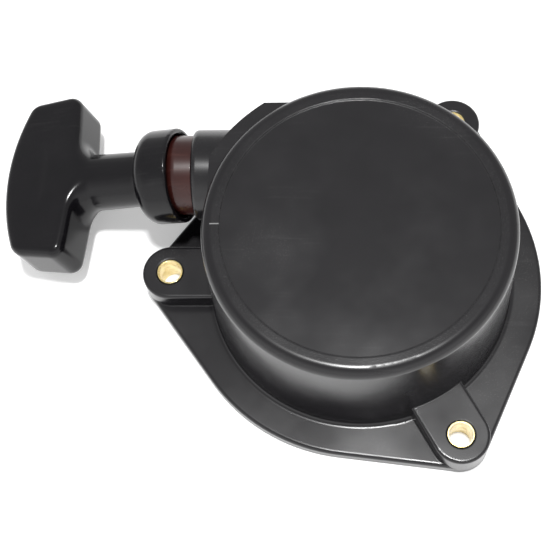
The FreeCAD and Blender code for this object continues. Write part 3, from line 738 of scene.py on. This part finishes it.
class Recipe:
    """A geometry node tree with named inputs, baked into a plain mesh."""

    def __init__(self, name: str, numbers: dict[str, float]) -> None:
        """Start the tree.

        Args:
            name: Name of the tree.
            numbers: Name and default value of each input.
        """
        self.tree = bpy.data.node_groups.new(name, "GeometryNodeTree")
        face = self.tree.interface
        face.new_socket("Geometry", in_out="INPUT", socket_type="NodeSocketGeometry")
        for key, value in numbers.items():
            socket = face.new_socket(key, in_out="INPUT", socket_type="NodeSocketFloat")
            socket.default_value = value
        face.new_socket("Material", in_out="INPUT", socket_type="NodeSocketMaterial")
        face.new_socket("Geometry", in_out="OUTPUT", socket_type="NodeSocketGeometry")
        self.graph = Graph(self.tree)
        self.given = self.graph.add("NodeGroupInput").outputs

    def keep(self, name: str, geometry: bpy.types.NodeSocket, value: Any) -> bpy.types.NodeSocket:
        """Store a number at each point of a geometry.

        Args:
            name: Name of the attribute.
            geometry: The geometry's socket.
            value: The number's socket.

        Returns:
            The socket of the geometry that carries the attribute.
        """
        inputs = {"Geometry": geometry, "Name": name}
        node = self.graph.add("GeometryNodeStoreNamedAttribute", inputs, domain="POINT")
        self.tree.links.new(value, node.inputs["Value"])
        return node.outputs[0]

    def end(self, geometry: bpy.types.NodeSocket) -> None:
        """Realise the result, give it its material and send it out.

        Args:
            geometry: The finished geometry's socket.
        """
        smooth = self.graph.add("GeometryNodeSetShadeSmooth", {"Geometry": geometry})
        real = self.graph.add("GeometryNodeRealizeInstances", {0: smooth.outputs[0]})
        inputs = {"Geometry": real.outputs[0], "Material": self.given["Material"]}
        coated = self.graph.add("GeometryNodeSetMaterial", inputs)
        out = self.graph.add("NodeGroupOutput")
        self.tree.links.new(coated.outputs[0], out.inputs[0])

    def bake(self, name: str, base: bpy.types.Object, **inputs: Any) -> bpy.types.Object:
        """Run the tree on an object and keep the result as a plain mesh.

        Args:
            name: Name of the new object.
            base: The object that the tree starts from, removed afterwards.
            **inputs: Values of the tree's inputs, by name.

        Returns:
            The baked object, at the origin.
        """
        modifier = base.modifiers.new(name, "NODES")
        modifier.node_group = self.tree
        for item in self.tree.interface.items_tree:
            if item.item_type == "SOCKET" and item.in_out == "INPUT" and item.name in inputs:
                modifier[item.identifier] = inputs[item.name]
        graph = bpy.context.evaluated_depsgraph_get()
        mesh = bpy.data.meshes.new_from_object(base.evaluated_get(graph), depsgraph=graph)
        mesh.name = name
        bpy.data.objects.remove(base)
        baked = bpy.data.objects.new(name, mesh)
        bpy.context.scene.collection.objects.link(baked)
        return baked


def braid_recipe() -> Recipe:
    """Make the recipe that sweeps a braided cord along a path.

    Returns:
        The recipe. It stores the place in the weave as the attributes along and around.
    """
    numbers = {"Radius": 1.7 * MM, "Pitch": 7.0 * MM, "Relief": 0.16 * MM, "Step": 0.3 * MM}
    recipe = Recipe("braided_cord", numbers)
    graph, given = recipe.graph, recipe.given
    inputs = {"Curve": given["Geometry"], "Length": given["Step"]}
    even = graph.add("GeometryNodeResampleCurve", inputs, mode="LENGTH")
    length = graph.add("GeometryNodeSplineParameter").outputs["Length"]
    path = recipe.keep("along", even.outputs[0], length)
    ring = graph.add("GeometryNodeCurvePrimitiveCircle", {"Resolution": 32, "Radius": given["Radius"]})
    factor = graph.add("GeometryNodeSplineParameter").outputs["Factor"]
    profile = recipe.keep("around", ring.outputs[0], graph.math("MULTIPLY", factor, math.tau))
    inputs = {"Curve": path, "Profile Curve": profile, "Fill Caps": True}
    swept = graph.add("GeometryNodeCurveToMesh", inputs)
    along = graph.add("GeometryNodeInputNamedAttribute", {"Name": "along"}).outputs["Attribute"]
    around = graph.add("GeometryNodeInputNamedAttribute", {"Name": "around"}).outputs["Attribute"]
    turn = graph.math("MULTIPLY", graph.math("DIVIDE", along, given["Pitch"]), math.tau)
    left = graph.math("SINE", graph.math("MULTIPLY", graph.math("ADD", around, turn), 4.0))
    right = graph.math("SINE", graph.math("MULTIPLY", graph.math("SUBTRACT", around, turn), 4.0))
    weave = graph.math("MAXIMUM", graph.math("ABSOLUTE", left), graph.math("ABSOLUTE", right))
    depth = graph.math("MULTIPLY", graph.math("SUBTRACT", weave, 1.0), given["Relief"])
    normal = graph.add("GeometryNodeInputNormal").outputs[0]
    push = graph.add("ShaderNodeVectorMath", {0: normal, "Scale": depth}, operation="SCALE")
    shaped = graph.add("GeometryNodeSetPosition", {"Geometry": swept.outputs[0], "Offset": push.outputs[0]})
    recipe.end(shaped.outputs[0])
    return recipe


def strip_recipe() -> Recipe:
    """Make the recipe that winds a flat steel strip along a path.

    Returns:
        The recipe.
    """
    recipe = Recipe("wound_strip", {"Thickness": 0.5 * MM, "Width": 9.0 * MM})
    graph, given = recipe.graph, recipe.given
    bar = graph.add("GeometryNodeCurvePrimitiveQuadrilateral", {0: given["Thickness"], 1: given["Width"]})
    soft = graph.add("GeometryNodeFilletCurve", {"Curve": bar.outputs[0], "Radius": 0.08 * MM})
    flat = graph.add("GeometryNodeSetCurveNormal", {"Curve": given["Geometry"]}, mode="Z_UP")
    inputs = {"Curve": flat.outputs[0], "Profile Curve": soft.outputs[0], "Fill Caps": True}
    recipe.end(graph.add("GeometryNodeCurveToMesh", inputs).outputs[0])
    return recipe


# ------------------------------------------------------------------ stage


@dataclass(frozen=True)
class Camera:
    """The view from above the front of the starter."""

    place: Vector = Vector((2.98, -125.5, 326.2)) * MM
    right: Vector = Vector((0.99732, 0.02515, -0.06876))
    back: Vector = Vector((0.0732, -0.3615, 0.9295))
    lens: float = 79.54
    sensor: float = 36.0

    def build(self) -> None:
        """Make the camera and set it as the scene's own."""
        data = bpy.data.cameras.new("camera")
        data.lens = self.lens
        data.sensor_width = self.sensor
        data.clip_start = 10 * MM
        camera = bpy.data.objects.new("camera", data)
        bpy.context.scene.collection.objects.link(camera)
        back = self.back.normalized()
        up = back.cross(self.right).normalized()
        turn = Matrix((up.cross(back), up, back)).transposed()
        camera.matrix_world = Matrix.Translation(self.place) @ turn.to_4x4()
        bpy.context.scene.camera = camera


@dataclass(frozen=True)
class Stage:
    """A pale floor under a soft overhead light."""

    floor_half: float = 1.6
    zenith: float = 0.6
    front: float = 1.4
    front_height: tuple[float, float] = (0.85, 0.45)
    front_reach: tuple[float, float] = (0.1, -0.5)
    floor_glow: float = 0.25
    key_power: float = 21.0
    key_size: float = 0.14
    key_place: Vector = Vector((0.03, 0.01, 1.6))

    def build(self) -> None:
        """Make the sky, the floor and the light, and show colours as they are."""
        self.build_sky()
        self.build_floor()
        self.build_light()
        bpy.context.scene.view_settings.view_transform = "Standard"

    def build_sky(self) -> None:
        """Make the surroundings, brighter low down in front."""
        world = bpy.data.worlds.new("soft_room")
        world.use_nodes = True
        graph = Graph(world.node_tree)
        background = world.node_tree.nodes["Background"]
        background.inputs["Color"].default_value = (1.0, 1.0, 1.0, 1.0)
        direction = graph.add("ShaderNodeTexCoord").outputs["Generated"]
        parts = graph.add("ShaderNodeSeparateXYZ", {"Vector": direction}).outputs
        low = graph.span(parts["Z"], *self.front_height)
        front = graph.span(parts["Y"], *self.front_reach)
        share = graph.math("MULTIPLY", low, front)
        glow = graph.span(share, 0.0, 1.0, self.zenith, self.front)
        world.node_tree.links.new(glow, background.inputs["Strength"])
        bpy.context.scene.world = world

    def build_floor(self) -> None:
        """Make the plain pale floor."""
        half = self.floor_half
        mesh = bpy.data.meshes.new("floor")
        corners = [(-half, -half, 0), (half, -half, 0), (half, half, 0), (-half, half, 0)]
        mesh.from_pydata(corners, [], [(0, 1, 2, 3)])
        floor = bpy.data.objects.new("floor", mesh)
        bpy.context.scene.collection.objects.link(floor)
        material, _, shader = new_material("floor_paper")
        shader.inputs["Base Color"].default_value = (0.9, 0.9, 0.9, 1.0)
        shader.inputs["Roughness"].default_value = 0.8
        shader.inputs["Emission Color"].default_value = (1.0, 1.0, 1.0, 1.0)
        shader.inputs["Emission Strength"].default_value = self.floor_glow
        floor.data.materials.append(material)

    def build_light(self) -> None:
        """Make the small soft light overhead."""
        lamp = bpy.data.lights.new("overhead_light", "AREA")
        lamp.size = self.key_size
        lamp.energy = self.key_power
        light = bpy.data.objects.new("overhead_light", lamp)
        light.location = self.key_place
        bpy.context.scene.collection.objects.link(light)


# ------------------------------------------------------------------ sub-assemblies


@dataclass(frozen=True)
class CarriedNodes:
    """CAD nodes of one sub-assembly that keep their own shape and get a finish."""

    name: str
    coats: dict[str, Finish]

    def dress(self, frame: dict[str, Any], finishes: Finishes) -> None:
        """Give each node its finish.

        Args:
            finishes: The object's finishes.
        """
        for node, finish in self.coats.items():
            finishes.dress(frame["nodes"][node], finish)
        LOG.info("%s: %s", self.name, ", ".join(self.coats))


CARRIED = (
    CarriedNodes("cover", {
        "housing": COVER_BLACK,
        "rope_guide": GUIDE_BROWN,
        "ear_sleeve_1": SLEEVE_BRASS,
        "ear_sleeve_2": SLEEVE_BRASS,
        "ear_sleeve_3": SLEEVE_BRASS,
    }),
    CarriedNodes("reel", {
        "reel": REEL_NYLON,
        "reel_bush": PLATED_STEEL,
        "spring_case": PLATED_STEEL,
        "spring_plate": PLATED_STEEL,
        "screw_washer": PLATED_STEEL,
        "centre_screw": PLATED_STEEL,
    }),
    CarriedNodes("clutch", {
        "pawl_a": PLATED_STEEL,
        "pawl_b": PLATED_STEEL,
        "pawl_pin_a": PLATED_STEEL,
        "pawl_pin_b": PLATED_STEEL,
        "pawl_spring_a": SPRING_STEEL,
        "pawl_spring_b": SPRING_STEEL,
        "ratchet_guide": PLATED_STEEL,
        "friction_spring": SPRING_STEEL,
    }),
    CarriedNodes("rope_end", {"handle_washer": PLATED_STEEL}),
)


@dataclass(frozen=True)
class HandleAxes:
    """The handle's own axes: from its mouth along its neck, across it along its grip, and up."""

    mouth: Vector
    along: Vector
    across: Vector
    up: Vector

    @classmethod
    def found(cls, frame: dict[str, Any]) -> HandleAxes:
        """Read the axes from the joint that lets the handle hang.


        Returns:
            The axes at rest, in the frame.
        """
        joint = next(item for item in frame["joints"] if item["name"] == "handle_swing")
        across = Vector(joint["axis"]).normalized()
        level = Vector((-across.y, across.x, 0.0))
        droop = math.radians(joint["range_deg"][1])
        along = level * math.cos(droop) - Vector((0.0, 0.0, math.sin(droop)))
        return cls(Vector(joint["pos_m"]), along, across, across.cross(along))

    def place(self, points: np.ndarray) -> np.ndarray:
        """Turn points on the handle's own axes, in millimetres, to the frame's."""
        axes = np.array([self.along, self.across, self.up])
        return np.array(self.mouth) + MM * points @ axes


@dataclass(frozen=True)
class Handle:
    """The pull handle, moulded in one piece, with its sizes in millimetres.

    u runs from the mouth of its cup to its grip, y along the grip and z across it.
    """

    cup_radius: float = 13.0
    cup_inner: float = 11.6
    cup_depth: float = 8.6
    cup_length: float = 10.7
    cup_round: float = 4.0
    neck_radius: float = 7.6
    neck_taper: float = 0.02
    neck_begin: float = 2.0
    neck_end: float = 36.0
    grip_start: float = 31.0
    grip_bow: float = 1.5
    grip_end: float = 46.0
    grip_crown: float = 51.2
    inner_half: float = 25.0
    outer_half: float = 23.2
    half_height: float = 8.1
    inner_corner: float = 3.6
    outer_corner: float = 2.4
    edge_round: float = 2.7
    fillet: float = 4.5
    slab_round: float = 0.8
    cup_fillet: float = 1.3
    lip_round: float = 0.6
    room_round: float = 1.2
    room_rim: float = 0.5
    rope_hole: float = 2.1
    hole_rim: float = 0.6
    knot_seat: float = 39.0
    knot_room: float = 4.0
    pocket_rim: float = 0.8
    cell: float = 0.55

    def distance(self, points: np.ndarray) -> np.ndarray:
        """Signed distance to the handle.

        Args:
            points: Array of (u, y, z).

        Returns:
            The distance at each point, negative inside.
        """
        u, y, z = points[..., 0], points[..., 1], points[..., 2]
        across = np.hypot(y, z)
        slab = np.abs(z) - self.half_height
        cup = round_overlap(across - self.cup_radius, u - self.cup_length, self.cup_round)
        cup = round_overlap(cup, -u, self.lip_round)
        neck_side = across - self.neck_radius - self.neck_taper * (u - self.cup_length)
        neck = np.maximum(np.maximum(neck_side, u - self.neck_end), self.neck_begin - u)
        grip = round_overlap(self.grip_plan(u, y), slab, self.edge_round)
        body = round_overlap(round_union(grip, neck, self.fillet), slab, self.slab_round)
        solid = round_union(body, cup, self.cup_fillet)
        room = round_overlap(across - self.cup_inner, u - self.cup_depth, self.room_round)
        hole = across - self.rope_hole
        pocket = np.maximum(across - self.knot_room, self.knot_seat - u)
        hollows = ((room, self.room_rim), (hole, self.hole_rim), (pocket, self.pocket_rim))
        for hollow, rim in hollows:
            solid = round_cut(solid, hollow, rim)
        return solid

    def grip_plan(self, u: np.ndarray, y: np.ndarray) -> np.ndarray:
        """Signed distance to the grip's outline, seen from above.

        Args:
            u: Places along the neck.
            y: Places along the grip.

        Returns:
            The distance at each place, negative inside.
        """
        rise = self.grip_crown - self.grip_end
        crown_radius = (self.outer_half**2 + rise**2) / (2 * rise)
        crown = np.hypot(u - self.grip_crown + crown_radius, y) - crown_radius
        inner = self.grip_start - self.grip_bow * (1 - (y / self.inner_half) ** 2) - u
        slope = (self.inner_half - self.outer_half) / (self.grip_end - self.grip_start)
        ends = np.abs(y) - self.inner_half + slope * (u - self.grip_start)
        inner_side = round_overlap(inner, ends, self.inner_corner)
        return np.maximum(inner_side, round_overlap(crown, ends, self.outer_corner))

    def build(self, axes: HandleAxes, finishes: Finishes) -> None:
        """Mesh the moulding and dress it.

        Args:
            axes: Where the handle hangs.
            finishes: The object's finishes.
        """
        end_spare, side_spare = 1.3, 1.0
        half_width, half_depth = self.inner_half + side_spare, self.cup_radius + side_spare
        low = (-end_spare, -half_width, -half_depth)
        high = (self.grip_crown + end_spare, half_width, half_depth)
        points, quads = surface_net(self.distance, low, high, self.cell)
        moulding = mesh_object("pull_handle", axes.place(points), quads)
        finishes.dress(moulding, HANDLE_BLACK)
        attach(moulding, "handle")
        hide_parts("handle")
        LOG.info("pull_handle: %d quads", len(quads))


@dataclass
class Rope:
    """The braided rope: turns on the reel, the free stretch and both knots."""

    axes: HandleAxes
    cord: bpy.types.Material
    radius: float = 1.72 * MM
    coil_radius: float = 30.0 * MM
    coil_pitch: float = 3.61 * MM
    turns: int = 5
    coil_steps: int = 96
    end_bend: float = 4.0 * MM
    bend_steps: int = 12
    knot_radius: float = 1.25 * MM
    knot_steps: int = 160
    knot_span: float = 3.0
    recipe: Recipe = field(default_factory=braid_recipe)

    def braid(
        self, name: str, base: bpy.types.Object, body: str | None, node: str, **inputs: float
    ) -> bpy.types.Object:
        """Sweep the braid along a curve.

        Args:
            name: Name of the piece.
            base: The rope's middle line.
            body: The body that the piece rides on, or None for a piece left on no body.
            node: The CAD node that the piece stands for.
            **inputs: Inputs of the recipe that differ from its defaults.

        Returns:
            The braided piece.
        """
        piece = self.recipe.bake(name, base, Material=self.cord, **inputs)
        if body is not None:
            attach(piece, body)
        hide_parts(node)
        LOG.info("%s: %d faces", name, len(piece.data.polygons))
        return piece

    def __post_init__(self) -> None:
        """Find where the rope enters its guide, and where the run to it leaves the outermost turn."""
        mouth = self.axes.mouth
        self.entry = Vector((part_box("rope_guide")[1][0], mouth.y, mouth.z))
        away = math.hypot(self.entry.x, self.entry.y)
        self.exit_angle = math.atan2(self.entry.y, self.entry.x) - math.acos(self.coil_radius / away)

    def build(self) -> None:
        """Build the free stretch, the wound turns and the knots."""
        self.build_lead()
        self.build_end()
        self.build_coil()
        self.build_knot("handle_knot_tied", "handle_knot", "handle")
        self.build_knot("reel_knot_tied", "reel_knot", "reel")

    def build_lead(self) -> None:
        """Build the stretch from the coil through the guide to the handle's mouth."""
        mouth = self.axes.mouth
        start = Vector((math.cos(self.exit_angle), math.sin(self.exit_angle), 0.0)) * self.coil_radius
        start.z = mouth.z
        entry = self.entry
        route = [start, start.lerp(entry, 0.7), entry, mouth]
        line = path_curve("rope_free", route, Line.SMOOTH)
        stretch = self.braid("rope_free", line, None, "rope_lead", Radius=self.radius)
        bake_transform(stretch)

    def build_end(self) -> None:
        """Build the stretch inside the handle, up to its knot."""
        mouth, along = self.axes.mouth, self.axes.along
        low, high = (Vector(corner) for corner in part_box("handle_knot"))
        reach = ((low + high) / 2 - mouth).dot(along)
        line = path_curve("rope_in_handle", [mouth, mouth + along * reach], Line.THROUGH)
        self.braid("rope_in_handle", line, "handle", "rope_lead", Radius=self.radius)

    def build_coil(self) -> None:
        """Wind the turns on the reel as one spiral, then bend the rope's end down to its knot."""
        points = []
        for number in range(self.coil_steps * self.turns + 1):
            turn = number / self.coil_steps
            angle = self.exit_angle - turn * math.tau
            radius = self.coil_radius - turn * self.coil_pitch
            points.append(Vector((radius * math.cos(angle), radius * math.sin(angle), self.axes.mouth.z)))
        last = points[-1]
        onward = Vector((math.sin(self.exit_angle), -math.cos(self.exit_angle), 0.0))
        down = Vector((0.0, 0.0, -1.0))
        for number in range(1, self.bend_steps + 1):
            turned = math.pi / 2 * number / self.bend_steps
            points.append(last + self.end_bend * (onward * math.sin(turned) + down * (1 - math.cos(turned))))
        low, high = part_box("reel_knot")
        points.append(Vector((points[-1].x, points[-1].y, (low[2] + high[2]) / 2)))
        line = path_curve("rope_turns", points, Line.THROUGH)
        self.braid("rope_turns", line, "reel", "rope_coil", Step=0.45 * MM, Radius=self.radius)

    def build_knot(self, name: str, node: str, body: str) -> None:
        """Tie an overhand knot in the space of a CAD ball.

        Args:
            name: Name of the piece.
            node: The CAD node that it stands for.
            body: The body that it rides on.
        """
        low, high = (Vector(corner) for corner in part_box(node))
        centre = (low + high) / 2
        scale = ((high.z - low.z) / 2 - 1.05 * self.knot_radius) / self.knot_span
        points = []
        for number in range(self.knot_steps):
            t = math.tau * number / self.knot_steps
            x = math.sin(t) + 2 * math.sin(2 * t)
            y = math.cos(t) - 2 * math.cos(2 * t)
            z = -1.5 * math.sin(3 * t)
            points.append(centre + scale * Vector((x, y, z)))
        line = path_curve(name, points, Line.THROUGH, cyclic=True)
        self.braid(name, line, body, node, Radius=self.knot_radius, Pitch=5.0 * MM)


@dataclass(frozen=True)
class RecoilSpring:
    """The spiral of strip steel that winds the rope back."""

    turns: int = 9
    strip: float = 0.5 * MM
    hub_share: float = 0.36
    crowding: float = 1.15
    steps: int = 72

    def build(self, steel: bpy.types.Material) -> None:
        """Wind the strip between its case and the reel's hub.

        Args:
            steel: The strip's material.
        """
        low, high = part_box("recoil_spring")
        middle = (low[2] + high[2]) / 2
        outer = min(high[0], high[1]) - self.strip
        inner = self.hub_share * outer
        points = []
        for number in range(self.turns * self.steps + 1):
            turn = number / self.steps
            radius = outer + (inner - outer) * (turn / self.turns) ** self.crowding
            angle = -turn * math.tau
            points.append(Vector((radius * math.cos(angle), radius * math.sin(angle), middle)))
        base = path_curve("mainspring", points, Line.THROUGH)
        width = high[2] - low[2]
        spring = strip_recipe().bake("mainspring", base, Thickness=self.strip, Width=width, Material=steel)
        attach(spring, "cover")
        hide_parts("recoil_spring")
        LOG.info("mainspring: %d faces", len(spring.data.polygons))


def main() -> None:
    """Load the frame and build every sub-assembly."""
    logging.basicConfig(level=logging.INFO, format="%(name)s: %(message)s")
    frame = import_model()
    Camera().build()
    Stage().build()
    finishes = Finishes()
    for group in CARRIED:
        group.dress(frame, finishes)
    axes = HandleAxes.found(frame)
    Handle().build(axes, finishes)
    Rope(axes, finishes.of(ROPE_CORD)).build()
    RecoilSpring().build(finishes.of(SPRING_STEEL))


if __name__ == "__main__":
    main()
